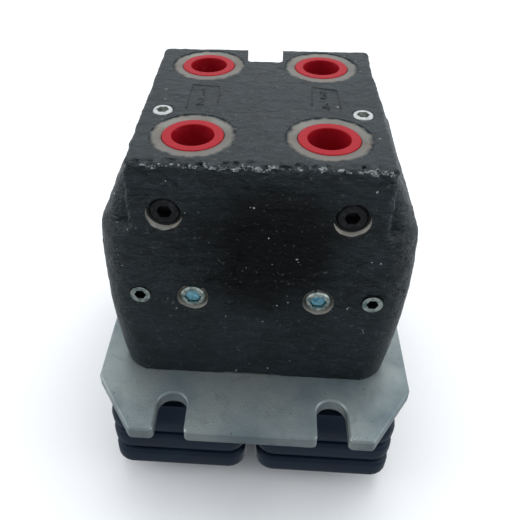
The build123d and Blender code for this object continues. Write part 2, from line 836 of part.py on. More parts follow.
def main():
    os.makedirs("parts", exist_ok=True)
    write("valve_body", valve_body())
    write("top_gallery_screws", top_gallery_screws())
    write("gallery_plugs", gallery_plugs())
    write("gallery_plug_seals", gallery_plug_seals())
    write("sealed_plugs", sealed_plugs())
    write("sealing_compound", sealing_compound())
    write("small_gallery_screws", small_gallery_screws())
    write("mounting_flange", mounting_flange())
    write("flange_screws", flange_screws())
    write("rod_guides", rod_guides())
    write("guide_o_rings", guide_o_rings())
    write("rod_seals", rod_seals())
    write("shaft_lock_screws", shaft_lock_screws())
    for side_name, side in sides.items():
        write("shaft_" + side_name, shaft(side))
        write("rocker_" + side_name, rocker(side))
        write("rocker_bushes_" + side_name, rocker_bushes(side))
        write("adjusting_screws_" + side_name, adjusting_screws(side))
        write("lock_nuts_" + side_name, lock_nuts(side))
        write("pedal_plate_" + side_name, pedal_plate(side))
        write("plate_screws_" + side_name, plate_screws(side))
        write("boot_" + side_name, boot(side))
        for row_name, row in rows.items():
            place = "_" + row_name + "_" + side_name
            x, y = side * port_x, row * port_y
            write("port_cap" + place, port_cap(x, y))
            write("push_rod" + place, push_rod(x, y))
            write("spring_seat" + place, spring_seat(x, y))
            write("spool" + place, spool(x, y))
            write("return_spring" + place,
                  helix_spring(return_radius, return_wire, seat_top, chamber_top, return_turns, x, y))
            write("metering_spring" + place,
                  helix_spring(metering_radius, metering_wire, seat_top, spool_collar_z, metering_turns, x, y))


main()
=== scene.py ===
"""Looks of the foot pilot valve: the sand-cast painted body, the slotted aluminium flange, red port
caps, plugs and set screws, rubber boots, and a pale stage. Shapes are worked out in millimetres and
put into meshes in metres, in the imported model's own frame: +Z up, the plugged face towards -Y."""
import math

import bmesh
import bpy
import numpy as np
from mathutils import Matrix, Vector


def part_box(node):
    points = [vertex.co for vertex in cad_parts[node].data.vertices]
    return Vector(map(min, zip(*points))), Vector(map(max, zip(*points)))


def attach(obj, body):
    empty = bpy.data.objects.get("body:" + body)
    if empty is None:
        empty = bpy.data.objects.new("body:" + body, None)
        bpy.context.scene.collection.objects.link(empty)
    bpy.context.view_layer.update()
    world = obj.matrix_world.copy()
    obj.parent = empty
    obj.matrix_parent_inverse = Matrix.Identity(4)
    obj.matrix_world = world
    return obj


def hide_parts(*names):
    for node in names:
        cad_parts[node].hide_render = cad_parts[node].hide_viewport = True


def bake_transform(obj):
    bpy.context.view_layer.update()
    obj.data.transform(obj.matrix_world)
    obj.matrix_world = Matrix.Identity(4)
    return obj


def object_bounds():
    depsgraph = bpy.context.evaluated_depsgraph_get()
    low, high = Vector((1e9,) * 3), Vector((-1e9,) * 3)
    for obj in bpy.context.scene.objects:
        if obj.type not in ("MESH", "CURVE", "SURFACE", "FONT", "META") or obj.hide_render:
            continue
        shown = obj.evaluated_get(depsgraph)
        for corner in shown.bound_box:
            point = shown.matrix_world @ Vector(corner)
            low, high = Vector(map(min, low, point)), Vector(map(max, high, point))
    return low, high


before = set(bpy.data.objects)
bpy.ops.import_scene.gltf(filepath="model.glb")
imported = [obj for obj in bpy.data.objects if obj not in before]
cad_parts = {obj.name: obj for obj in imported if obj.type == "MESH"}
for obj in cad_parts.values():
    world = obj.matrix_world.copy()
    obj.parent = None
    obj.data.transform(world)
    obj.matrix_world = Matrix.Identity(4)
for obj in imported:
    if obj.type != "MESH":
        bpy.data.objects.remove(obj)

bl_info = {
    "name": "Foot pilot valve",
    "version": (1, 0, 0),
    "blender": (4, 5, 0),
    "location": "View3D > Sidebar > Valve",
    "description": "Dresses the packed foot pilot valve: casting, flange, caps, plugs, boots and stage",
    "category": "Add Mesh",
}

CAD_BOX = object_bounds()
MM = 0.001
ROWS = ("front", "rear")
SIDES = ("left", "right")


def node_box(name):
    """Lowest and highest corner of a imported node, in mm."""
    low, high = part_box(name)
    return np.array(low) / MM, np.array(high) / MM


def linear(code, alpha=True):
    """An sRGB hex colour as linear values."""
    parts = [int(code[i:i + 2], 16) / 255 for i in (0, 2, 4)]
    colour = [c / 12.92 if c <= 0.04045 else ((c + 0.055) / 1.055) ** 2.4 for c in parts]
    return tuple(colour + [1.0]) if alpha else tuple(colour)


def per_mm(size):
    """The scale that gives a noise features of about this many mm on Object coordinates."""
    return 1 / (size * MM)


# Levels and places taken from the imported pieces, in mm
BODY_LOW, BODY_HIGH = node_box("valve_body")
PORT_FACE = BODY_HIGH[2]
SEAT_FACE = BODY_LOW[2]
CAP_LOW, CAP_HIGH = node_box("port_cap_front_right")
PORT_X = (CAP_LOW[0] + CAP_HIGH[0]) / 2
PORT_Y = -(CAP_LOW[1] + CAP_HIGH[1]) / 2

# The casting's own sizes, in mm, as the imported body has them
NECK_HALF = 43.1
LEAN = math.tan(math.radians(4.0))
FRONT_TOP = 47.7
BACK_TOP = 46.2
SHOULDER_Z = PORT_FACE - 25.0
WIDTH_POINTS = ((50.3, SEAT_FACE), (55.1, PORT_FACE - 45.0), (54.2, SHOULDER_Z))
LOWER_CORNER = 12.0
NECK_CORNER = 2.5
RIM = 2.2
SHOULDER_EDGE = 3.0
FLARE_FOOT = SHOULDER_Z - SHOULDER_EDGE / 2
FLARE_HALF = WIDTH_POINTS[2][0] - 0.134 * SHOULDER_EDGE - 0.1
FLARE_TOP = PORT_FACE - 3.0
FLARE_SETBACK = 4.0
FLARE_CORNER = 10.0
SPOT_RADIUS = 14.5
REAR_PORTS = ((-22.4, 113.0), (0.0, 75.0))
CHANNEL_HALF = 7.6
CHANNEL_FOOT = 90.0

# The sand-cast skin, in mm: its mean depth, its relief over the port face's own, and the raised line
# where two streams of metal met on the plugged face, which falls away from its left end
SKIN_HEIGHT = 0.42
SKIN_MEAN = 0.45
SKIN_MEAN_LESS_ON_TOP = 0.31
SKIN_RANGE = (0.05, 1.6)
SKIN_AT_PORTS = 0.1
ROUGH_FROM = 70.0
ROUGH_OVER = 26.0
RUN_DROP = 14.4
RUN_RISE = 6.3
RUN_X = -8.8
RUN_FALL = 7.5
RUN_HALF_HEIGHT = 0.7
RIM_ROWS = 4.0
SKIN_BOX_HALF_X = 56.0
SKIN_BOX_FRONT, SKIN_BOX_BACK = -54.5, 55.5

# Where the painted shade on the plugged face lies, in mm
PAINTED_SHADE_CENTRE = (4.0, -50.0, 112.0)
PAINTED_SHADE_RADIUS = 46.0
PAINTED_SHADE_CORE = 18.0

# How near the casting's faces a face counts as cast, and how deep in them a screw's face gets its socket's
# painted shade, in mm
FACE_MATCH = 0.15
SOCKET_DEPTH = 0.45

# The port face's cast marks, in mm: beads, frames, and plain numbers drawn in a box from -1 to 1
MARK_BEAD = 0.3
MARK_SIDES = 8
MARK_FRAMES = {"left": ((-26.9, -9.9), (-26.7, 9.8), (-16.4, 8.7), (-16.0, -6.0)),
               "right": ((17.6, -5.0), (18.1, 9.8), (27.3, 7.7), (27.7, -6.8))}
MARK_PLACES = {1: (-22.0, 3.8), 2: (-22.3, -4.4), 3: (22.0, 3.0), 4: (22.6, -5.6)}
DIGITS = {1: ((-0.5, 0.5), (0.1, 1.0), (0.1, -1.0)),
          2: ((-0.8, 0.6), (-0.4, 1.0), (0.4, 1.0), (0.8, 0.5), (0.4, 0.0), (-0.8, -1.0), (0.8, -1.0)),
          3: ((-0.8, 1.0), (0.8, 1.0), (0.0, 0.2), (0.7, -0.1), (0.8, -0.6), (0.3, -1.0), (-0.8, -0.8)),
          4: ((0.4, -1.0), (0.4, 1.0), (-0.8, -0.4), (0.9, -0.4))}

# The boots' own sizes, in mm
BOOT_CORNER = 7.0
BOOT_FLOOR = 2.4
FOOT_ROUNDING = 3.0
FOLD_LEDGES = (9.5, 20.4)
SHOULDER = 1.8
OVERHANG = 5.0
LIP_HEIGHT = 7.6
LIP_INSET = 3.0
BOOT_COLUMNS = 168

# The springs, in mm. The spool moves about a fifth as far as the rod. The metering spring's lead, a share
# of its height, is listed with it but no step uses it
RETURN_TURNS, RETURN_WIRE = 3.5, 2.0
METERING_TURNS, METERING_WIRE = 4, 1.2
METERING_LEAD = 0.41
COIL_SIDES = 10
COIL_STEPS = 40


class CastingSettings(bpy.types.PropertyGroup):
    grid: bpy.props.FloatProperty(
        name="Grid", description="Spacing of the casting's surface grid",
        default=0.95 * MM, unit="LENGTH", subtype="DISTANCE")
    roughness: bpy.props.FloatProperty(
        name="Roughness", description="Height of the sand-cast skin's bumps",
        default=SKIN_HEIGHT * MM, unit="LENGTH", subtype="DISTANCE")
    paint: bpy.props.FloatVectorProperty(
        name="Paint", description="Colour of the paint", size=3, subtype="COLOR",
        default=linear("1b292e", alpha=False))
    # The dark tone: painted_casting lays it in the skin's hollows as painted shade; the rubbed edge and the
    # marks use it as their base
    dark_paint: bpy.props.FloatVectorProperty(
        name="Dark paint", description="Colour of the paint in its hollows", size=3, subtype="COLOR",
        default=linear("080c0e", alpha=False))
    bare: bpy.props.FloatVectorProperty(
        name="Bare iron", description="Colour of the machined iron", size=3, subtype="COLOR",
        default=linear("8b8882", alpha=False))


class FlangeSettings(bpy.types.PropertyGroup):
    colour: bpy.props.FloatVectorProperty(
        name="Aluminium", description="Colour of the cast aluminium", size=3, subtype="COLOR",
        default=linear("8b9493", alpha=False))
    stain: bpy.props.FloatVectorProperty(
        name="Stain", description="Colour of its faint stains", size=3, subtype="COLOR",
        default=linear("69777d", alpha=False))


class CapSettings(bpy.types.PropertyGroup):
    colour: bpy.props.FloatVectorProperty(
        name="Caps", description="Colour of the moulded caps", size=3, subtype="COLOR",
        default=linear("9c1320", alpha=False))


class BootSettings(bpy.types.PropertyGroup):
    fold: bpy.props.FloatProperty(
        name="Fold depth", description="Depth of the boots' folds",
        default=2.8 * MM, unit="LENGTH", subtype="DISTANCE")
    wall: bpy.props.FloatProperty(
        name="Wall", description="Thickness of the rubber",
        default=2.0 * MM, unit="LENGTH", subtype="DISTANCE")
    colour: bpy.props.FloatVectorProperty(
        name="Rubber", description="Colour of the boots", size=3, subtype="COLOR",
        default=linear("03192b", alpha=False))


class StageSettings(bpy.types.PropertyGroup):
    floor: bpy.props.FloatVectorProperty(
        name="Floor", description="Colour of the floor", size=3, subtype="COLOR",
        default=linear("fbfbfb", alpha=False))
    reach: bpy.props.FloatProperty(
        name="Floor size", description="Half the width of the floor",
        default=6.0, unit="LENGTH", subtype="DISTANCE")
    world: bpy.props.FloatProperty(
        name="World", description="Strength of the pale world", default=1.05)
    key_power: bpy.props.FloatProperty(
        name="Key light", description="Power of the softbox overhead", default=5.4, unit="POWER")
    fill_power: bpy.props.FloatProperty(
        name="Side lights", description="Power of each side softbox", default=1.8, unit="POWER")


def add(tree, kind, inputs=None, **settings):
    """Adds a node: settings are its attributes, and inputs are values or the sockets they link from."""
    node = tree.nodes.new(kind)
    for name, value in settings.items():
        setattr(node, name, value)
    for name, value in (inputs or {}).items():
        if isinstance(value, bpy.types.NodeSocket):
            tree.links.new(value, node.inputs[name])
        else:
            node.inputs[name].default_value = value
    return node


def start_material(name, **shader_values):
    """A material with one shader: its constant values are set on the shader's own sockets."""
    material = bpy.data.materials.new(name)
    material.use_nodes = True
    tree = material.node_tree
    tree.nodes.clear()
    values = {key.replace("_", " "): value for key, value in shader_values.items()}
    shader = add(tree, "ShaderNodeBsdfPrincipled", values)
    add(tree, "ShaderNodeOutputMaterial", {"Surface": shader.outputs["BSDF"]})
    place = add(tree, "ShaderNodeTexCoord").outputs["Object"]
    return material, tree, shader, place


def patches(tree, place, size, low, high, detail=3.0, distortion=0.0):
    """A factor from 0 to 1 in soft patches of a size in mm: the share of noise between low and high."""
    noise = add(tree, "ShaderNodeTexNoise", {
        "Vector": place, "Scale": per_mm(size), "Detail": detail, "Distortion": distortion})
    return add(tree, "ShaderNodeMapRange", {
        "Value": noise.outputs["Fac"], "From Min": low, "From Max": high}).outputs["Result"]


def laid_over(tree, colour, tone, factor, share=1.0):
    """A colour with a tone laid over it, as far as a factor times a share goes."""
    part = add(tree, "ShaderNodeMath", {0: factor, 1: share}, operation="MULTIPLY").outputs[0]
    return add(tree, "ShaderNodeMix", {0: part, 6: colour, 7: tone}, data_type="RGBA").outputs[2]


def finish_with(tree, shader, colour=None, roughness=None, height=None, depth=0.05):
    """Links what varies over a surface: colour, roughness, and a relief of some depth in mm."""
    if colour is not None:
        tree.links.new(colour, shader.inputs["Base Color"])
    if roughness is not None:
        tree.links.new(roughness, shader.inputs["Roughness"])
    if height is not None:
        bump = add(tree, "ShaderNodeBump", {"Height": height, "Distance": depth * MM, "Strength": 1.0})
        tree.links.new(bump.outputs["Normal"], shader.inputs["Normal"])


def two_tone(name, pattern, tones, rough, relief=None, depth=0.05, share=1.0, stretch=None, **shader_values):
    """A finish between two tones. One pattern, whose first value is its size in mm, lays the second tone
    over the first by a share, and takes the roughness from its first value up by its second. The relief
    is a pattern of its own, or the same one where none is given."""
    material, tree, shader, place = start_material(name, **shader_values)
    if stretch:
        place = add(tree, "ShaderNodeMapping", {"Vector": place, "Scale": stretch}).outputs[0]
    wear = patches(tree, place, *pattern)
    colour = laid_over(tree, *tones, wear, share)
    roughness = add(tree, "ShaderNodeMath", {
        0: wear, 1: rough[1], 2: rough[0]}, operation="MULTIPLY_ADD").outputs[0]
    height = patches(tree, place, *relief) if relief else wear
    finish_with(tree, shader, colour, roughness, height, depth)
    return material


def opaque(colour):
    """A property's three values as a shader colour."""
    return (colour[0], colour[1], colour[2], 1.0)


def painted_casting(settings):
    """Satin enamel over a sand-cast iron skin: dark, a little uneven, with dust and the sand's grain, and
    painted shade in the skin's hollows and folds and over the middle of the plugged face.
    """
    material, tree, shader, place = start_material("satin_enamel_on_sand_cast_iron", IOR=1.5)
    axes = add(tree, "ShaderNodeSeparateXYZ", {"Vector": place})
    # The upper part of the block is rougher than the foot, which the pattern's draft smoothed
    rough_zone = add(tree, "ShaderNodeMapRange", {
        "Value": axes.outputs["Z"], "From Min": 0.072, "From Max": 0.098, "To Min": 0.3}).outputs["Result"]
    stretch = add(tree, "ShaderNodeMapping", {"Vector": place, "Scale": (0.6, 1.0, 1.5)}).outputs[0]
    wrinkle = patches(tree, stretch, 3.6, 0.36, 0.66, detail=6.0, distortion=0.9)
    grain = patches(tree, place, 0.9, 0.3, 0.7, detail=4.0)
    patch = patches(tree, place, 17.0, 0.2, 0.8)
    # Fine ridges, where the metal skinned over in the sand
    warp = add(tree, "ShaderNodeTexNoise", {
        "Vector": stretch, "Scale": per_mm(2.6), "Detail": 3.0}).outputs["Color"]
    warped = add(tree, "ShaderNodeVectorMath", {
        0: warp, 1: (0.005, 0.005, 0.005), 2: stretch}, operation="MULTIPLY_ADD").outputs[0]
    cell = add(tree, "ShaderNodeTexVoronoi", {
        "Vector": warped, "Scale": per_mm(4.2)}, feature="DISTANCE_TO_EDGE")
    ridge = add(tree, "ShaderNodeMapRange", {
        "Value": cell.outputs["Distance"], "From Min": 0.16, "From Max": 0.0}).outputs["Result"]
    ridge = add(tree, "ShaderNodeMath", {
        0: ridge, 1: patches(tree, place, 9.0, 0.42, 0.62)}, operation="MULTIPLY").outputs[0]
    height = add(tree, "ShaderNodeMath", {
        0: ridge, 1: 0.5, 2: wrinkle}, operation="MULTIPLY_ADD").outputs[0]
    height = add(tree, "ShaderNodeMath", {0: height, 1: rough_zone}, operation="MULTIPLY").outputs[0]
    height = add(tree, "ShaderNodeMath", {
        0: grain, 1: 0.35, 2: height}, operation="MULTIPLY_ADD").outputs[0]
    # Painted shade: half of the darkening follows the relief's wrinkles and is dark where they are low; the
    # other half varies in random patches
    shade = add(tree, "ShaderNodeMath", {0: patch, 1: 0.5}, operation="MULTIPLY").outputs[0]
    shade = add(tree, "ShaderNodeMath", {
        0: wrinkle, 1: 0.5, 2: shade}, operation="MULTIPLY_ADD").outputs[0]
    colour = laid_over(tree, opaque(settings.dark_paint), opaque(settings.paint), shade)
    # Painted shadow lines: near-black streaks of a stretched pattern, strongest in the rougher upper part,
    # stand in for the shade in the skin's folds
    fold = patches(tree, stretch, 2.2, 0.6, 0.72, detail=4.0, distortion=0.6)
    colour = laid_over(tree, colour, linear("030404"), fold, rough_zone)
    # Painted shade darkens the middle of the plugged face, above the small plugs, and its specular level is
    # lowered there
    centre = tuple(value * MM for value in PAINTED_SHADE_CENTRE)
    offset = add(tree, "ShaderNodeVectorMath", {0: place, 1: centre}, operation="SUBTRACT").outputs[0]
    spread = add(tree, "ShaderNodeVectorMath", {
        0: offset, 1: (1.0, 2.0, 1.05)}, operation="MULTIPLY").outputs[0]
    reach = add(tree, "ShaderNodeVectorMath", {0: spread}, operation="LENGTH").outputs["Value"]
    reach = add(tree, "ShaderNodeMath", {
        0: patch, 1: 0.012, 2: reach}, operation="MULTIPLY_ADD").outputs[0]
    painted_shade = add(tree, "ShaderNodeMapRange", {
        "Value": reach, "From Min": PAINTED_SHADE_RADIUS * MM, "From Max": PAINTED_SHADE_CORE * MM,
    }, interpolation_type="SMOOTHSTEP").outputs["Result"]
    colour = laid_over(tree, colour, linear("030303"), painted_shade, 0.95)
    gloss = add(tree, "ShaderNodeMath", {0: painted_shade, 1: -0.2, 2: 0.36}, operation="MULTIPLY_ADD").outputs[0]
    tree.links.new(gloss, shader.inputs["Specular IOR Level"])
    # Pale dust caught in the grain, and a few chips down to the iron
    dust = patches(tree, place, 1.3, 0.63, 0.74, detail=5.0)
    colour = laid_over(tree, colour, linear("7f8889"), dust, 0.2)
    chip = patches(tree, place, 2.1, 0.745, 0.765, detail=2.0)
    colour = laid_over(tree, colour, linear("9b9c98"), chip)
    shine = add(tree, "ShaderNodeMapRange", {
        "Value": patch, "To Min": 0.4, "To Max": 0.5}).outputs["Result"]
    finish_with(tree, shader, colour, shine, height, depth=0.5)
    return material


def mark_paint(settings):
    """The same enamel on the cast marks, near black all over as painted shade that makes the beads read as
    dark lines, in soft patches of the dark tone.
    """
    return two_tone("enamel_with_painted_shade_on_cast_marks", (1.6, 0.35, 0.65),
                    (linear("040505"), opaque(settings.dark_paint)), rough=(0.75, -0.15),
                    relief=(0.6, 0.2, 0.8), depth=0.03, IOR=1.5)


def rubbed_edge(settings):
    """The same enamel where the port face's front edge is broken: bare grey grit shows in it."""
    material, tree, shader, place = start_material("rubbed_enamel_on_cast_edge", IOR=1.5)
    grit = patches(tree, place, 1.1, 0.42, 0.62, detail=6.0, distortion=0.6)
    colour = laid_over(tree, opaque(settings.dark_paint), linear("8f9595"), grit)
    finish_with(tree, shader, colour, patches(tree, place, 1.0, -0.4, 1.0), grit, depth=0.25)
    return material


def machined_iron(settings):
    """Grey iron faced off in a mill: dull bright metal with fine turning rings and thin brown stains."""
    material, tree, shader, place = start_material("faced_grey_iron", Metallic=0.85)
    flat = add(tree, "ShaderNodeMapping", {"Vector": place, "Scale": (1.0, 1.0, 0.0)}).outputs[0]
    folded = add(tree, "ShaderNodeVectorMath", {0: flat}, operation="ABSOLUTE").outputs[0]
    centred = add(tree, "ShaderNodeVectorMath", {
        0: folded, 1: (PORT_X * MM, PORT_Y * MM, 0.0)}, operation="SUBTRACT").outputs[0]
    away = add(tree, "ShaderNodeVectorMath", {0: centred}, operation="LENGTH").outputs["Value"]
    # The rings are drawn 0.5 mm apart, coarser than a real facing cut, so that they show
    turns = add(tree, "ShaderNodeMath", {0: away, 1: 2 * math.pi / (0.5 * MM)}, operation="MULTIPLY")
    rings = add(tree, "ShaderNodeMath", {0: turns.outputs[0]}, operation="SINE").outputs[0]
    stain = patches(tree, place, 7.0, 0.5, 0.7)
    colour = laid_over(tree, opaque(settings.bare), linear("85796a"), stain, 0.5)
    # Paint has crept over the spot face's outer edge
    crept = add(tree, "ShaderNodeMath", {
        0: patches(tree, place, 3.0, 0.3, 0.7), 1: 1.2 * MM, 2: away}, operation="MULTIPLY_ADD").outputs[0]
    paint = add(tree, "ShaderNodeMapRange", {
        "Value": crept, "From Min": (SPOT_RADIUS - 0.9) * MM, "From Max": (SPOT_RADIUS + 0.5) * MM,
    }).outputs["Result"]
    height = add(tree, "ShaderNodeSeparateXYZ", {"Vector": place}).outputs["Z"]
    on_top = add(tree, "ShaderNodeMath", {
        0: height, 1: (PORT_FACE - 0.6) * MM}, operation="GREATER_THAN").outputs[0]
    colour = laid_over(tree, colour, opaque(settings.paint), paint, on_top)
    roughness = add(tree, "ShaderNodeMath", {
        0: stain, 1: 0.15, 2: 0.45}, operation="MULTIPLY_ADD").outputs[0]
    finish_with(tree, shader, colour, roughness, rings, depth=0.004)
    return material


def cast_aluminium(settings):
    """Sand-cast aluminium, left as cast: dull, softly clouded, with a fine even grain."""
    material, tree, shader, place = start_material("sand_cast_aluminium", Metallic=0.75)
    cloud = patches(tree, place, 24.0, 0.4, 0.66, detail=4.0)
    smear = patches(tree, place, 6.0, 0.52, 0.72, detail=5.0, distortion=1.2)
    grain = patches(tree, place, 0.7, 0.25, 0.75, detail=4.0)
    colour = laid_over(tree, opaque(settings.colour), opaque(settings.stain), cloud)
    colour = laid_over(tree, colour, linear("6c7274"), smear, 0.35)
    speck = patches(tree, place, 1.5, 0.7, 0.76)
    colour = laid_over(tree, colour, linear("4a4f50"), speck)
    roughness = add(tree, "ShaderNodeMath", {
        0: cloud, 1: 0.12, 2: 0.46}, operation="MULTIPLY_ADD").outputs[0]
    finish_with(tree, shader, colour, roughness, grain, depth=0.05)
    return material


def moulded_cap(settings):
    """Injection-moulded polyethylene: saturated, slightly waxy, with scuffed rims."""
    return two_tone("moulded_polyethylene", (2.4, 0.55, 0.75, 5.0),
                    (opaque(settings.colour), linear("e25560")), rough=(0.42, 0.2),
                    relief=(1.2, 0.2, 0.8), depth=0.02, share=0.12, IOR=1.5, Specular_IOR_Level=0.15,
                    Subsurface_Weight=0.12, Subsurface_Radius=(0.004, 0.001, 0.0008), Subsurface_Scale=1.0)


def plated_steel():
    """Bright zinc plate on turned steel: pale, with a faint yellow cast and soft stains."""
    return two_tone("zinc_plated_turned_steel", (1.6, 0.4, 0.7), (linear("d7dad8"), linear("a9aca6")),
                    rough=(0.26, 0.2), relief=(0.5, 0.2, 0.8), depth=0.01, Metallic=1.0)


def dulled_plate():
    """The same zinc plate on the screws sunk in the front, dulled and tinted by a film of compound."""
    return two_tone("filmed_zinc_plated_steel", (1.4, 0.35, 0.65), (linear("c9d3ca"), linear("7c8c8a")),
                    rough=(0.32, 0.15), relief=(0.5, 0.2, 0.8), depth=0.02, Metallic=1.0)


def blackened_steel():
    """Hot black oxide on machined steel: near black, with a dry satin sheen."""
    return two_tone("black_oxide_machined_steel", (1.8, 0.5, 0.8), (linear("1d1e21"), linear("3a3b3e")),
                    rough=(0.36, 0.15), relief=(0.5, 0.2, 0.8), depth=0.012, Metallic=0.6)


def painted_plate():
    """Black paint on sawn steel plate, scuffed where it stands."""
    return two_tone("black_paint_on_sawn_plate", (5.0, 0.55, 0.75, 6.0, 1.0),
                    (linear("1a1b1d"), linear("4b4d4f")), rough=(0.4, 0.2),
                    relief=(0.8, 0.2, 0.8), depth=0.03, share=0.5, IOR=1.5)


def ground_steel():
    """Hardened steel, centreless ground: bright, with very fine lines round the work."""
    return two_tone("ground_hardened_steel", (1.0, 0.3, 0.7), (linear("b4b5b8"), linear("8f9196")),
                    rough=(0.2, 0.12), depth=0.004, stretch=(0.2, 0.2, 3.0), Metallic=1.0)


def phosphated_iron():
    """Cast iron with a phosphate coat: dark grey and dry, with the casting's grain."""
    return two_tone("phosphated_cast_iron", (1.1, 0.3, 0.7, 5.0), (linear("35373a"), linear("4c4e50")),
                    rough=(0.6, 0.15), depth=0.08, Metallic=0.3)


def bearing_bronze():
    """Sintered bronze: brown-gold and slightly porous."""
    return two_tone("sintered_bearing_bronze", (0.5, 0.35, 0.6), (linear("7c5c33"), linear("b68f55")),
                    rough=(0.5, -0.15), depth=0.01, Metallic=1.0)


def seal_rubber():
    """Moulded nitrile: black, smooth, with a thin oil sheen."""
    return two_tone("moulded_nitrile_rubber", (1.5, 0.5, 0.8), (linear("0f1012"), linear("232527")),
                    rough=(0.4, 0.2), relief=(0.4, 0.2, 0.8), depth=0.01, IOR=1.52)


def boot_rubber(settings):
    """Moulded chloroprene: blue-black and matt, with a faint grey bloom and the mould's fine grain."""
    return two_tone("moulded_chloroprene", (14.0, 0.42, 0.68, 4.0),
                    (opaque(settings.colour), linear("16283a")), rough=(0.46, 0.12),
                    relief=(0.6, 0.25, 0.75), depth=0.03, share=0.5, IOR=1.52, Specular_IOR_Level=0.22)


def set_compound():
    """Anaerobic sealing compound, set hard in the sockets: blue-green, lumpy and half glossy."""
    return two_tone("set_sealing_compound", (1.4, 0.35, 0.65, 4.0), (linear("2c6b82"), linear("6fa7b8")),
                    rough=(0.3, 0.2), depth=0.25, IOR=1.5)


def floor_material(settings):
    """A matt painted board, pale all over, with a barely visible roller texture."""
    material, tree, shader, place = start_material(
        "matt_painted_board", Roughness=0.9, Specular_IOR_Level=0.0)
    shade = patches(tree, place, 900.0, 0.0, 1.0)
    finish_with(tree, shader, laid_over(tree, opaque(settings.floor), linear("eeeeee"), shade, 0.1))
    return material


def dress(name, material):
    """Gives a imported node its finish."""
    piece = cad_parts[name]
    piece.data.materials.clear()
    piece.data.materials.append(material)
    return piece


def dress_shaded_sockets(name, outside, inside):
    """Gives a screw one finish, and its socket, all faces well under the casting's skin, another finish laid
    there as painted shade.
    """
    piece = dress(name, outside)
    piece.data.materials.append(inside)
    deep = casting_distance(face_centres(piece.data)) < -SOCKET_DEPTH
    piece.data.polygons.foreach_set("material_index", deep.astype(np.int32))


def mesh_object(name, points, faces, materials):
    """A new object from points in mm and a face array, smooth, with its place in its mesh."""
    mesh = bpy.data.meshes.new(name)
    mesh.from_pydata((points * MM).tolist(), [], faces.tolist())
    mesh.validate()
    for material in materials:
        mesh.materials.append(material)
    piece = bpy.data.objects.new(name, mesh)
    bpy.context.scene.collection.objects.link(piece)
    return piece


def shade_by_angle(mesh, degrees):
    """Smooth shading that stays sharp across edges steeper than an angle."""
    mesh.shade_smooth()
    mesh.set_sharp_from_angle(angle=math.radians(degrees))


def grid_faces(rows, columns):
    """Quads between rows of a grid that is closed round its columns."""
    row, column = np.meshgrid(np.arange(rows - 1), np.arange(columns), indexing="ij")
    after = (column + 1) % columns
    corners = (row * columns + column, row * columns + after,
               (row + 1) * columns + after, (row + 1) * columns + column)
    return np.stack(corners, axis=-1).reshape(-1, 4)


def waves(points, size, seed, count=26):
    """Smooth noise: the sum of plane waves of about one length in mm, in random directions and phases."""
    draw = np.random.default_rng(seed)
    direction = draw.normal(size=(count, 3))
    direction /= np.linalg.norm(direction, axis=1, keepdims=True)
    length = size * draw.uniform(0.75, 1.35, count)
    turn = draw.uniform(0, 2 * math.pi, count)
    flat = points.reshape(-1, 3)
    total = np.sin(flat @ (direction * (2 * math.pi / length)[:, None]).T + turn).sum(axis=1)
    return (total / math.sqrt(count / 2)).reshape(points.shape[:-1])


def rounded_corner(across, along, corner):
    """Distance outside a rounded corner, from the distances outside its two faces."""
    u, v = across + corner, along + corner
    outside = np.hypot(np.maximum(u, 0), np.maximum(v, 0))
    return outside + np.minimum(np.maximum(u, v), 0) - corner


def side_half_width(z):
    """The casting's half width at a height: a parabola through three points, by length along it."""
    width, height = np.array(WIDTH_POINTS).T
    step = np.hypot(np.diff(width), np.diff(height))
    share = np.array([0, step[0], step.sum()]) / step.sum()
    along = np.linspace(0, 1, 300)
    return np.interp(z, np.polyval(np.polyfit(share, height, 2), along),
                     np.polyval(np.polyfit(share, width, 2), along))


def casting_distance(points):
    """How far a point is outside the casting's faces, in mm. The lower block is a rounded box with a
    bellied half width. The neck is a rounded box with upright sides. The flare between them narrows
    linearly from the shoulder's rounding to just under the port face. The nearest of the three counts."""
    x, y, z = np.moveaxis(points, -1, 0)
    lean = LEAN * (PORT_FACE - z)
    ends = np.maximum(-y - FRONT_TOP - lean, y - BACK_TOP - lean)
    lower = rounded_corner(np.abs(x) - side_half_width(z), ends, LOWER_CORNER)
    lower = rounded_corner(lower, z - SHOULDER_Z, SHOULDER_EDGE)
    neck = rounded_corner(np.abs(x) - NECK_HALF, ends, NECK_CORNER)
    neck = rounded_corner(neck, z - PORT_FACE, RIM)
    share = np.clip((z - FLARE_FOOT) / (FLARE_TOP - FLARE_FOOT), 0, 1)
    flare = rounded_corner(np.abs(x) - FLARE_HALF - share * (NECK_HALF - 0.1 - FLARE_HALF),
                           ends + FLARE_SETBACK, FLARE_CORNER + share * (NECK_CORNER - FLARE_CORNER))
    flare = np.maximum(flare, np.maximum(FLARE_FOOT - z, z - FLARE_TOP))
    return np.minimum(np.minimum(lower, flare), neck)


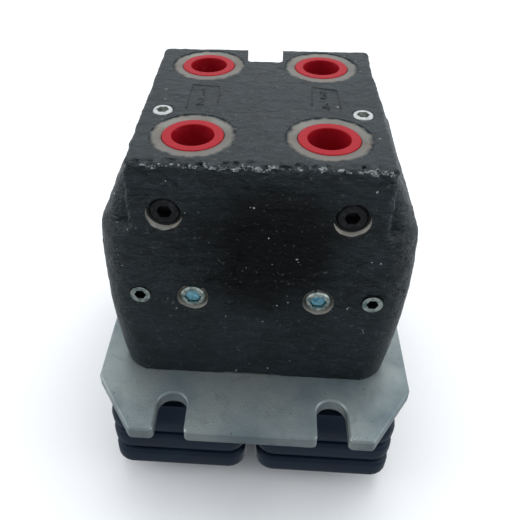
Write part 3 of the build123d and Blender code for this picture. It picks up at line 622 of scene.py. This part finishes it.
def skin_depth(points, height):
    """How far the sand-cast skin lies under the pattern's faces, in mm: long swells, ripples and grain,
    deeper folds where the metal ran cold, one raised run line across the front, and a broken rim."""
    x, y, z = np.moveaxis(points, -1, 0)
    top = np.clip((z - PORT_FACE + 1.6) / 1.4, 0, 1)
    rough = np.clip((z - ROUGH_FROM) / ROUGH_OVER, 0.25, 1) * (1 - 0.8 * top)
    rough *= 1 - 0.6 * np.clip((np.abs(x) - NECK_HALF + 1) / 3, 0, 1)
    swell = waves(points, 26, 1)
    ripple = waves(points * np.array([0.8, 1, 1.3]), 8, 2)
    grain = waves(points, 3.4, 3)
    fold = np.exp(-(waves(points * np.array([0.7, 1, 1.5]), 15, 4) / 0.13) ** 2)
    fold *= np.clip(waves(points, 34, 5), 0, 1)
    depth = SKIN_MEAN - SKIN_MEAN_LESS_ON_TOP * top
    depth += rough * (0.16 * swell + 0.15 * ripple + 0.13 * grain + 0.55 * fold)
    run_z = PORT_FACE - RUN_DROP + RUN_RISE * np.exp((RUN_X - x) / RUN_FALL)
    run = np.exp(-((z - run_z) / RUN_HALF_HEIGHT) ** 2) * (np.abs(x - 8) < 18) * (y < 0)
    depth -= 0.35 * run
    rim = np.exp(-((z - PORT_FACE) / 2.6) ** 2) * np.clip((-y - FRONT_TOP + 3.4) / 2, 0, 1)
    depth += rim * (0.35 + 0.3 * waves(points, 2.6, 6) + 0.25 * waves(points, 6, 7))
    # Thin round the rear ports' spot faces, which are milled only just through the skin at their tops
    for port_x, port_z in REAR_PORTS:
        inside = np.clip((SPOT_RADIUS + 4 - np.hypot(x - port_x, z - port_z)) / 2.5, 0, 1) * (y > 25)
        depth -= inside * (depth - SKIN_AT_PORTS)
    return np.clip(depth * height / SKIN_HEIGHT, *SKIN_RANGE)


def casting_skin(settings, materials):
    """The cast skin as a surface over a plain box: every grid point lies where its ray, from the
    upright axis through the box's point, leaves the casting, less the skin's depth. Rows run up the
    sides, close together over the rim, and then in over the port face to the axis."""
    grid = settings.grid / MM
    half_y, middle_y = (SKIN_BOX_BACK - SKIN_BOX_FRONT) / 2, (SKIN_BOX_BACK + SKIN_BOX_FRONT) / 2
    straight = 4 * (SKIN_BOX_HALF_X + half_y - 2 * LOWER_CORNER)
    columns = int((straight + 2 * math.pi * LOWER_CORNER) / grid)
    columns -= columns % 2
    outline = rounded_outline(SKIN_BOX_HALF_X, half_y, LOWER_CORNER, columns)
    outline[:, 1] += middle_y
    foot = SEAT_FACE - 1.0
    side = np.linspace(foot, PORT_FACE - RIM_ROWS, int(87 / grid))
    rim = np.linspace(PORT_FACE - RIM_ROWS, PORT_FACE + RIM_ROWS, 15)[1:]
    shrink = np.linspace(1, 0.002, int(49 / (1.25 * grid)))[1:]
    heights = np.concatenate([side, rim, np.full(len(shrink), rim[-1])])
    scale = np.concatenate([np.ones(len(side) + len(rim)), shrink])
    levels = np.broadcast_to(heights[:, None, None], (len(heights), columns, 1))
    target = np.concatenate([outline[None] * scale[:, None, None], levels], axis=-1)
    origin = np.zeros_like(target)
    origin[..., 2] = np.minimum(heights, PORT_FACE - 22.0)[:, None]
    ray = target - origin

    def crossing(under):
        low, high = np.full(ray.shape[:2], 0.2), np.full(ray.shape[:2], 1.6)
        for _ in range(26):
            middle = (low + high) / 2
            inside = casting_distance(origin + middle[..., None] * ray) < -under
            low, high = np.where(inside, middle, low), np.where(inside, high, middle)
        return origin + low[..., None] * ray

    points = crossing(0.0)
    points = crossing(skin_depth(points, settings.roughness / MM))
    poles = [[0, 0, foot], [0, 0, points[-1, :, 2].mean()]]
    points = np.concatenate([points.reshape(-1, 3), poles])
    rows = len(heights)
    faces = grid_faces(rows, columns).tolist()
    loop = np.arange(columns)
    after = (loop + 1) % columns
    foot_pole, top_pole = rows * columns, rows * columns + 1
    faces += np.stack([after, loop, np.full(columns, foot_pole)], axis=1).tolist()
    last = (rows - 1) * columns
    faces += np.stack([last + loop, last + after, np.full(columns, top_pole)], axis=1).tolist()
    mesh = bpy.data.meshes.new("casting_skin")
    mesh.from_pydata((points * MM).tolist(), [], faces)
    for material in materials:
        mesh.materials.append(material)
    skin = bpy.data.objects.new("casting_skin", mesh)
    bpy.context.scene.collection.objects.link(skin)
    return skin


def rounded_outline(half_x, half_y, corner, count):
    """Points evenly spaced along a rounded rectangle, anticlockwise from the middle of its right side:
    the side's straight runs and quarter arcs are laid end to end and read off at equal lengths."""
    corner = np.minimum(corner, np.minimum(half_x, half_y) * 0.999)
    along = (np.arange(count) + 0.5) / count
    run_x, run_y, arc = 2 * (half_x - corner), 2 * (half_y - corner), math.pi / 2 * corner
    lengths = np.array([run_y / 2, arc, run_x, arc, run_y, arc, run_x, arc, run_y / 2])
    ends = np.concatenate([[0], np.cumsum(lengths)])
    where = along * ends[-1]
    part = np.clip(np.searchsorted(ends, where, side="right") - 1, 0, 8)
    share = (where - ends[part]) / np.maximum(lengths[part], 1e-9)
    centre = np.array([[half_x, 0], [half_x - corner, half_y - corner], [half_x - corner, half_y],
                       [corner - half_x, half_y - corner], [-half_x, half_y - corner],
                       [corner - half_x, corner - half_y], [corner - half_x, -half_y],
                       [half_x - corner, corner - half_y], [half_x, corner - half_y]])
    step = np.array([[0, run_y / 2], [0, 0], [-run_x, 0], [0, 0], [0, -run_y], [0, 0], [run_x, 0], [0, 0],
                     [0, run_y / 2]])
    turn = np.array([np.nan, 0, np.nan, 90, np.nan, 180, np.nan, 270, np.nan])
    angle = np.radians(turn[part] + 90 * share)
    straight = centre[part] + step[part] * share[:, None]
    curved = centre[part] + corner * np.stack([np.cos(angle), np.sin(angle)], axis=1)
    return np.where(np.isnan(turn[part])[:, None], straight, curved)


def body_casting(settings):
    """The painted casting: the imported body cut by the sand-cast skin, so that its bores, seats and spot
    faces stay as machined and every outer face gets the skin's real bumps."""
    paint, bare, rubbed = painted_casting(settings), machined_iron(settings), rubbed_edge(settings)
    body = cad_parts["valve_body"]
    machined = bpy.data.objects.new("machined_body", body.data.copy())
    bpy.context.scene.collection.objects.link(machined)
    weld(machined.data)
    machined.data.materials.clear()
    for material in (paint, bare, rubbed):
        machined.data.materials.append(material)
    machined.data.polygons.foreach_set("material_index", machined_faces(machined.data))
    skin = casting_skin(settings, (paint, bare, rubbed))
    skin.data.polygons.foreach_set("material_index", np.zeros(len(skin.data.polygons), np.int32))
    cut = skin.modifiers.new("machining", "BOOLEAN")
    cut.operation = "INTERSECT"
    cut.object = machined
    cut.solver = "MANIFOLD"
    graph = bpy.context.evaluated_depsgraph_get()
    result = bpy.data.meshes.new_from_object(skin.evaluated_get(graph))
    result.name = "body_casting"
    for spare in (skin, machined):
        mesh = spare.data
        bpy.data.objects.remove(spare)
        bpy.data.meshes.remove(mesh)
    casting = bpy.data.objects.new("body_casting", result)
    bpy.context.scene.collection.objects.link(casting)
    mark_rubbed_edge(result)
    shade_by_angle(result, 38)
    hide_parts("valve_body")
    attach(casting, "casing")
    if len(result.polygons) < 10000:
        raise RuntimeError("the casting's skin and its machining don't meet")
    return casting


def weld(mesh):
    """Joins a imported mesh's loose triangles at their shared corners."""
    working = bmesh.new()
    working.from_mesh(mesh)
    bmesh.ops.remove_doubles(working, verts=working.verts, dist=0.002 * MM)
    bmesh.ops.dissolve_degenerate(working, edges=working.edges, dist=0.002 * MM)
    working.to_mesh(mesh)
    working.free()


def face_values(mesh, name):
    """Each face's middle or normal, as rows."""
    values = np.zeros(len(mesh.polygons) * 3, np.float32)
    mesh.polygons.foreach_get(name, values)
    return values.reshape(-1, 3)


def face_centres(mesh):
    """The middles of a mesh's faces, in mm."""
    return face_values(mesh, "center") / MM


def machined_faces(mesh):
    """Material indices of the body: 1, bare iron, except on its cast faces and in the rear channel."""
    centre = face_centres(mesh)
    x, y, z = centre.T
    depth = casting_distance(centre)
    step = 0.5
    outward = casting_distance(centre + step * face_values(mesh, "normal")) - depth > 0.84 * step
    near_skin = (np.abs(depth) < FACE_MATCH) & outward
    channel = (np.abs(x) < CHANNEL_HALF) & (y > 25) & (z > CHANNEL_FOOT)
    return np.where(near_skin | channel, 0, 1).astype(np.int32)


def mark_rubbed_edge(mesh):
    """Gives the broken front rim of the port face its own finish, with a ragged border."""
    centre = face_centres(mesh)
    index = np.zeros(len(mesh.polygons), np.int32)
    mesh.polygons.foreach_get("material_index", index)
    x, y, z = centre.T
    ragged = 0.55 * waves(centre, 5, 8) + 0.35 * waves(centre, 2.2, 9)
    edge = (z > PORT_FACE - 1.3 + 0.7 * ragged) & (y < -FRONT_TOP + 1.5 + 0.7 * ragged)
    index[edge & (index == 0)] = 2
    mesh.polygons.foreach_set("material_index", index)


def bellows_profile(settings, height):
    """The boot's section as insets and heights in mm, from its floor up and back down inside. Each fold
    is a shell that overhangs a little and rests on the rounded shoulder of the one below, with a narrow
    groove between them; the foot is a quarter arc, and the lip that grips the collar leans in."""
    fold, wall = settings.fold / MM, settings.wall / MM
    turn = np.radians(np.linspace(0, 90, 7))
    insets, heights = [FOOT_ROUNDING * (1 - np.sin(turn))], [FOOT_ROUNDING * (1 - np.cos(turn))]
    for ledge in FOLD_LEDGES:
        insets += [SHOULDER * (1 - np.cos(turn)), [fold, fold], fold * (1 - np.sin(turn))]
        heights += [ledge - SHOULDER * (1 - np.sin(turn)), [ledge + 0.1, ledge + 0.6],
                    ledge + 0.6 + OVERHANG * (1 - np.cos(turn))]
    rise = np.linspace(0, 1, 10)
    insets.append(LIP_INSET * rise ** 2 * (3 - 2 * rise))
    heights.append(height - LIP_HEIGHT * (1 - rise))
    outer = np.stack([np.concatenate(insets), np.concatenate(heights)], axis=1)
    inner = outer[::-1] + np.array([wall, 0.0])
    inner[:, 1] = np.maximum(inner[:, 1], BOOT_FLOOR)
    return outer, inner


def carried_round(insets, heights, half_x, half_y, centre_x):
    """A profile carried round a rounded rectangle: each inset pulls the outline in, at its height."""
    rings = []
    for inset, height in zip(insets, heights):
        inset = min(inset, half_x - 0.05)
        corner = max(BOOT_CORNER - 0.6 * inset, 0.04)
        ring = rounded_outline(half_x - inset, half_y - inset, corner, BOOT_COLUMNS)
        rings.append(np.column_stack([ring[:, 0] + centre_x, ring[:, 1], np.full(BOOT_COLUMNS, height)]))
    return np.concatenate(rings)


def boot(side_name, settings, material):
    """One rubber boot: its section carried round a rounded rectangle, and closed over its floor."""
    node = "boot_" + side_name
    low, high = node_box(node)
    half_x, half_y = (high[:2] - low[:2]) / 2
    outer, inner = bellows_profile(settings, high[2] - low[2])
    across = half_x * np.array([0.998, 0.6, 0.35])
    insets = np.concatenate([across, outer[:, 0], inner[:, 0], across[::-1]])
    heights = np.concatenate([np.zeros(3), outer[:, 1], inner[:, 1], np.full(3, BOOT_FLOOR)]) + low[2]
    centre_x = (low[0] + high[0]) / 2
    points = carried_round(insets, heights, half_x, half_y, centre_x)
    piece = mesh_object("rubber_" + node, points, grid_faces(len(insets), BOOT_COLUMNS), [material])
    weld(piece.data)
    close_holes(piece.data)
    shade_by_angle(piece.data, 60)
    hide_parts(node)
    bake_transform(piece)
    return piece


def close_holes(mesh):
    """Fills what a welded surface leaves open at its poles, and turns its faces outwards."""
    working = bmesh.new()
    working.from_mesh(mesh)
    bmesh.ops.holes_fill(working, edges=[e for e in working.edges if e.is_boundary], sides=0)
    bmesh.ops.recalc_face_normals(working, faces=working.faces)
    working.to_mesh(mesh)
    working.free()


def tube_along(path, radius, sides):
    """A round tube's points: circles of a radius carried along a path and set square to it."""
    step = np.gradient(path, axis=0)
    tangent = step / np.linalg.norm(step, axis=1, keepdims=True)
    lift = np.array([0, 0, 1.0]) if np.abs(tangent[:, 2]).max() < 0.9 else np.array([1.0, 0, 0])
    across = np.cross(tangent, lift)
    across /= np.linalg.norm(across, axis=1, keepdims=True)
    upward = np.cross(across, tangent)
    angle = np.linspace(0, 2 * math.pi, sides, endpoint=False)
    ring = np.cos(angle)[None, :, None] * across[:, None] + np.sin(angle)[None, :, None] * upward[:, None]
    return (path[:, None] + radius * ring).reshape(-1, 3)


def coil(name, node, turns, wire, material):
    """A wire spring in place of a packed one: a tube along a helix of even pitch."""
    low, high = node_box(node)
    centre = (low + high) / 2
    mean = (high[0] - low[0]) / 2 - wire / 2
    share = np.linspace(0, 1, int(turns * COIL_STEPS))
    angle = share * turns * 2 * math.pi
    rise = high[2] - low[2] - wire
    path = np.column_stack([centre[0] + mean * np.cos(angle), centre[1] + mean * np.sin(angle),
                            low[2] + wire / 2 + rise * share])
    points = tube_along(path, wire / 2, COIL_SIDES)
    piece = mesh_object(name, points, grid_faces(len(path), COIL_SIDES), [material])
    close_holes(piece.data)
    shade_by_angle(piece.data, 60)
    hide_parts(node)
    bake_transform(piece)
    return piece


def port_marks(settings):
    """Raised cast lines on the port face: a three-sided frame on each side, with plain numbers in it.
    Every line is a thin round bead, sunk to its middle in the face."""
    lines = [MARK_FRAMES[side] for side in SIDES]
    for digit, (centre_x, centre_y) in MARK_PLACES.items():
        lines.append(np.array(DIGITS[digit]) * (1.5, 2.3) + (centre_x, centre_y))
    points, faces, start = [], [], 0
    for line in lines:
        line = np.array(line, float)
        path = np.column_stack([line, np.full(len(line), PORT_FACE - 0.22)])
        points.append(tube_along(path, MARK_BEAD, MARK_SIDES))
        faces.append(grid_faces(len(path), MARK_SIDES) + start)
        start += len(points[-1])
    piece = mesh_object("port_marks", np.concatenate(points), np.concatenate(faces), [mark_paint(settings)])
    close_holes(piece.data)
    shade_by_angle(piece.data, 60)
    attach(piece, "casing")


class VALVE_OT_casting(bpy.types.Operator):
    """Adds the painted sand-cast body"""
    bl_idname = "valve.casting"
    bl_label = "Body casting"

    def execute(self, context):
        body_casting(context.scene.valve_casting)
        return {"FINISHED"}


class VALVE_OT_marks(bpy.types.Operator):
    """Adds the cast frames and plain numbers between the ports"""
    bl_idname = "valve.marks"
    bl_label = "Port marks"

    def execute(self, context):
        port_marks(context.scene.valve_casting)
        return {"FINISHED"}


class VALVE_OT_flange(bpy.types.Operator):
    """Finishes the mounting flange as cast aluminium"""
    bl_idname = "valve.flange"
    bl_label = "Mounting flange"

    def execute(self, context):
        dress("mounting_flange", cast_aluminium(context.scene.valve_flange))
        return {"FINISHED"}


class VALVE_OT_caps(bpy.types.Operator):
    """Finishes the four port caps as moulded plastic"""
    bl_idname = "valve.caps"
    bl_label = "Port caps"

    def execute(self, context):
        plastic = moulded_cap(context.scene.valve_caps)
        for row in ROWS:
            for side in SIDES:
                dress(f"port_cap_{row}_{side}", plastic)
        return {"FINISHED"}


class VALVE_OT_plugs(bpy.types.Operator):
    """Finishes the plugs, their seals and the set screws of the block"""
    bl_idname = "valve.plugs"
    bl_label = "Plugs and set screws"

    def execute(self, context):
        plate, dull, black = plated_steel(), dulled_plate(), blackened_steel()
        dress("sealed_plugs", dull)
        dress("top_gallery_screws", plate)
        # The small screws' sockets are painted shade: near-black steel in their recesses
        dress_shaded_sockets("small_gallery_screws", dull, black)
        dress("gallery_plugs", black)
        dress("gallery_plug_seals", seal_rubber())
        dress("sealing_compound", set_compound())
        return {"FINISHED"}


class VALVE_OT_boots(bpy.types.Operator):
    """Adds the two rubber boots"""
    bl_idname = "valve.boots"
    bl_label = "Rubber boots"

    def execute(self, context):
        settings = context.scene.valve_boots
        rubber = boot_rubber(settings)
        for side in SIDES:
            boot(side, settings, rubber)
        return {"FINISHED"}


class VALVE_OT_rockers(bpy.types.Operator):
    """Finishes the rockers, shafts, adjusters and pedal plates"""
    bl_idname = "valve.rockers"
    bl_label = "Rockers"

    def execute(self, context):
        ground, black, plate = ground_steel(), blackened_steel(), plated_steel()
        iron, bronze, board = phosphated_iron(), bearing_bronze(), painted_plate()
        dress("shaft_lock_screws", black)
        dress("flange_screws", black)
        for side in SIDES:
            dress("shaft_" + side, ground)
            dress("rocker_" + side, iron)
            dress("rocker_bushes_" + side, bronze)
            dress("adjusting_screws_" + side, ground)
            dress("lock_nuts_" + side, plate)
            dress("pedal_plate_" + side, board)
            dress("plate_screws_" + side, plate)
        return {"FINISHED"}


class VALVE_OT_trains(bpy.types.Operator):
    """Finishes the push rods, guides, seals and spools, and adds the springs"""
    bl_idname = "valve.trains"
    bl_label = "Rods, springs and spools"

    def execute(self, context):
        ground, rubber = ground_steel(), seal_rubber()
        dress("rod_guides", ground)
        dress("guide_o_rings", rubber)
        dress("rod_seals", rubber)
        for row in ROWS:
            for side in SIDES:
                place = f"_{row}_{side}"
                dress("push_rod" + place, ground)
                dress("spring_seat" + place, ground)
                dress("spool" + place, ground)
                for kind, turns, wire, lead in (("return", RETURN_TURNS, RETURN_WIRE, 0.0),
                                                ("metering", METERING_TURNS, METERING_WIRE, METERING_LEAD)):
                    node = kind + "_spring" + place
                    coil(kind + "_coil" + place, node, turns, wire, ground)
        return {"FINISHED"}


class VALVE_OT_stage(bpy.types.Operator):
    """Adds the pale floor, the soft lights and the camera"""
    bl_idname = "valve.stage"
    bl_label = "Stage"

    def execute(self, context):
        settings = context.scene.valve_stage
        floor_piece(settings)
        soft_lights(settings)
        photo_camera()
        return {"FINISHED"}


def floor_piece(settings):
    """A plain board under the valve."""
    reach = settings.reach / MM
    base = CAD_BOX[0][2] / MM - 0.05
    corners = ((-1, -1), (1, -1), (1, 1), (-1, 1))
    points = np.array([[reach * x, reach * y, base] for x, y in corners])
    floor = mesh_object("floor", points, np.array([[0, 1, 2, 3]]), [floor_material(settings)])
    # The board isn't mirrored, so that the casting's front stays as dark as in the photo
    floor.visible_glossy = False


def soft_lights(settings):
    """A pale world that is darker behind the camera, as a studio is, a large softbox above and a little
    behind the valve, and a weak one at each side."""
    world = bpy.data.worlds.new("pale studio")
    bpy.context.scene.world = world
    world.use_nodes = True
    tree = world.node_tree
    background = tree.nodes["Background"]
    background.inputs["Color"].default_value = linear("eef3f8")
    direction = add(tree, "ShaderNodeTexCoord").outputs["Generated"]
    axes = add(tree, "ShaderNodeSeparateXYZ", {"Vector": direction})
    facing = add(tree, "ShaderNodeMath", {
        0: axes.outputs["Z"], 1: 0.6, 2: axes.outputs["Y"]}, operation="MULTIPLY_ADD").outputs[0]
    strength = add(tree, "ShaderNodeMapRange", {
        "Value": facing, "From Min": -0.75, "From Max": 0.25,
        "To Min": 0.4 * settings.world, "To Max": settings.world,
    }, interpolation_type="SMOOTHSTEP").outputs["Result"]
    tree.links.new(strength, background.inputs["Strength"])
    boxes = (("overhead softbox", settings.key_power, 0.9, (0.1, 0.3, 1.1)),
             ("left softbox", settings.fill_power, 0.5, (-0.9, -0.15, 0.35)),
             ("right softbox", settings.fill_power, 0.5, (0.9, -0.15, 0.35)))
    for name, power, size, place in boxes:
        light = bpy.data.lights.new(name, "AREA")
        light.energy = power
        light.size = size
        lamp = bpy.data.objects.new(name, light)
        bpy.context.scene.collection.objects.link(lamp)
        lamp.location = place
        lamp.rotation_euler = (Vector(place) - Vector((0, 0, 0.08))).to_track_quat("Z", "Y").to_euler()
        lamp.visible_camera = False


def photo_camera():
    """The photograph's view, solved from the spot faces and plugs: place, three turns, and a lens of 620
    pixels on a frame of 520, with the small shift of a cropped picture."""
    frame_pixels, focal_pixels = 520.0, 620.0
    centre_pixel = (229.28, 219.95)
    place = (2.6, -206.76, 245.03)
    pitch, yaw, roll = (math.radians(a) for a in (37.24, -4.2, -0.4))
    forward = np.array([math.sin(yaw) * math.cos(pitch), math.cos(yaw) * math.cos(pitch), -math.sin(pitch)])
    level = np.array([math.cos(yaw), -math.sin(yaw), 0.0])
    raised = np.cross(level, forward)
    right = math.cos(roll) * level + math.sin(roll) * raised
    up = -math.sin(roll) * level + math.cos(roll) * raised
    data = bpy.data.cameras.new("camera")
    data.sensor_width = 36.0
    data.lens = data.sensor_width * focal_pixels / frame_pixels
    data.shift_x = (frame_pixels / 2 - centre_pixel[0]) / frame_pixels
    data.shift_y = (centre_pixel[1] - frame_pixels / 2) / frame_pixels
    data.clip_start = 0.01
    camera = bpy.data.objects.new("camera", data)
    bpy.context.scene.collection.objects.link(camera)
    turn = Matrix((right, up, -forward)).transposed()
    camera.matrix_world = Matrix.Translation(np.array(place) * MM) @ turn.to_4x4()
    bpy.context.scene.camera = camera


OPERATORS = (VALVE_OT_casting, VALVE_OT_marks, VALVE_OT_flange, VALVE_OT_caps, VALVE_OT_plugs, VALVE_OT_boots,
             VALVE_OT_rockers, VALVE_OT_trains, VALVE_OT_stage)
SETTINGS = {"valve_casting": CastingSettings, "valve_flange": FlangeSettings, "valve_caps": CapSettings,
            "valve_boots": BootSettings, "valve_stage": StageSettings}


class VALVE_PT_panel(bpy.types.Panel):
    """Lists the valve's pieces and their sizes"""
    bl_idname = "VALVE_PT_panel"
    bl_label = "Foot pilot valve"
    bl_space_type = "VIEW_3D"
    bl_region_type = "UI"
    bl_category = "Valve"

    def draw(self, context):
        for operator in OPERATORS:
            self.layout.operator(operator.bl_idname)
        for name, group in SETTINGS.items():
            box = self.layout.box()
            for setting in group.__annotations__:
                box.prop(getattr(context.scene, name), setting)


def register():
    for group in SETTINGS.values():
        bpy.utils.register_class(group)
    for name, group in SETTINGS.items():
        setattr(bpy.types.Scene, name, bpy.props.PointerProperty(type=group))
    for operator in OPERATORS:
        bpy.utils.register_class(operator)
    bpy.utils.register_class(VALVE_PT_panel)


def unregister():
    bpy.utils.unregister_class(VALVE_PT_panel)
    for operator in reversed(OPERATORS):
        bpy.utils.unregister_class(operator)
    for name, group in SETTINGS.items():
        delattr(bpy.types.Scene, name)
        bpy.utils.unregister_class(group)


def main():
    register()
    bpy.context.scene.view_settings.view_transform = "Standard"
    bpy.ops.valve.casting()
    bpy.ops.valve.marks()
    bpy.ops.valve.flange()
    bpy.ops.valve.caps()
    bpy.ops.valve.plugs()
    bpy.ops.valve.boots()
    bpy.ops.valve.rockers()
    bpy.ops.valve.trains()
    bpy.ops.valve.stage()


if __name__ == "__main__":
    main()
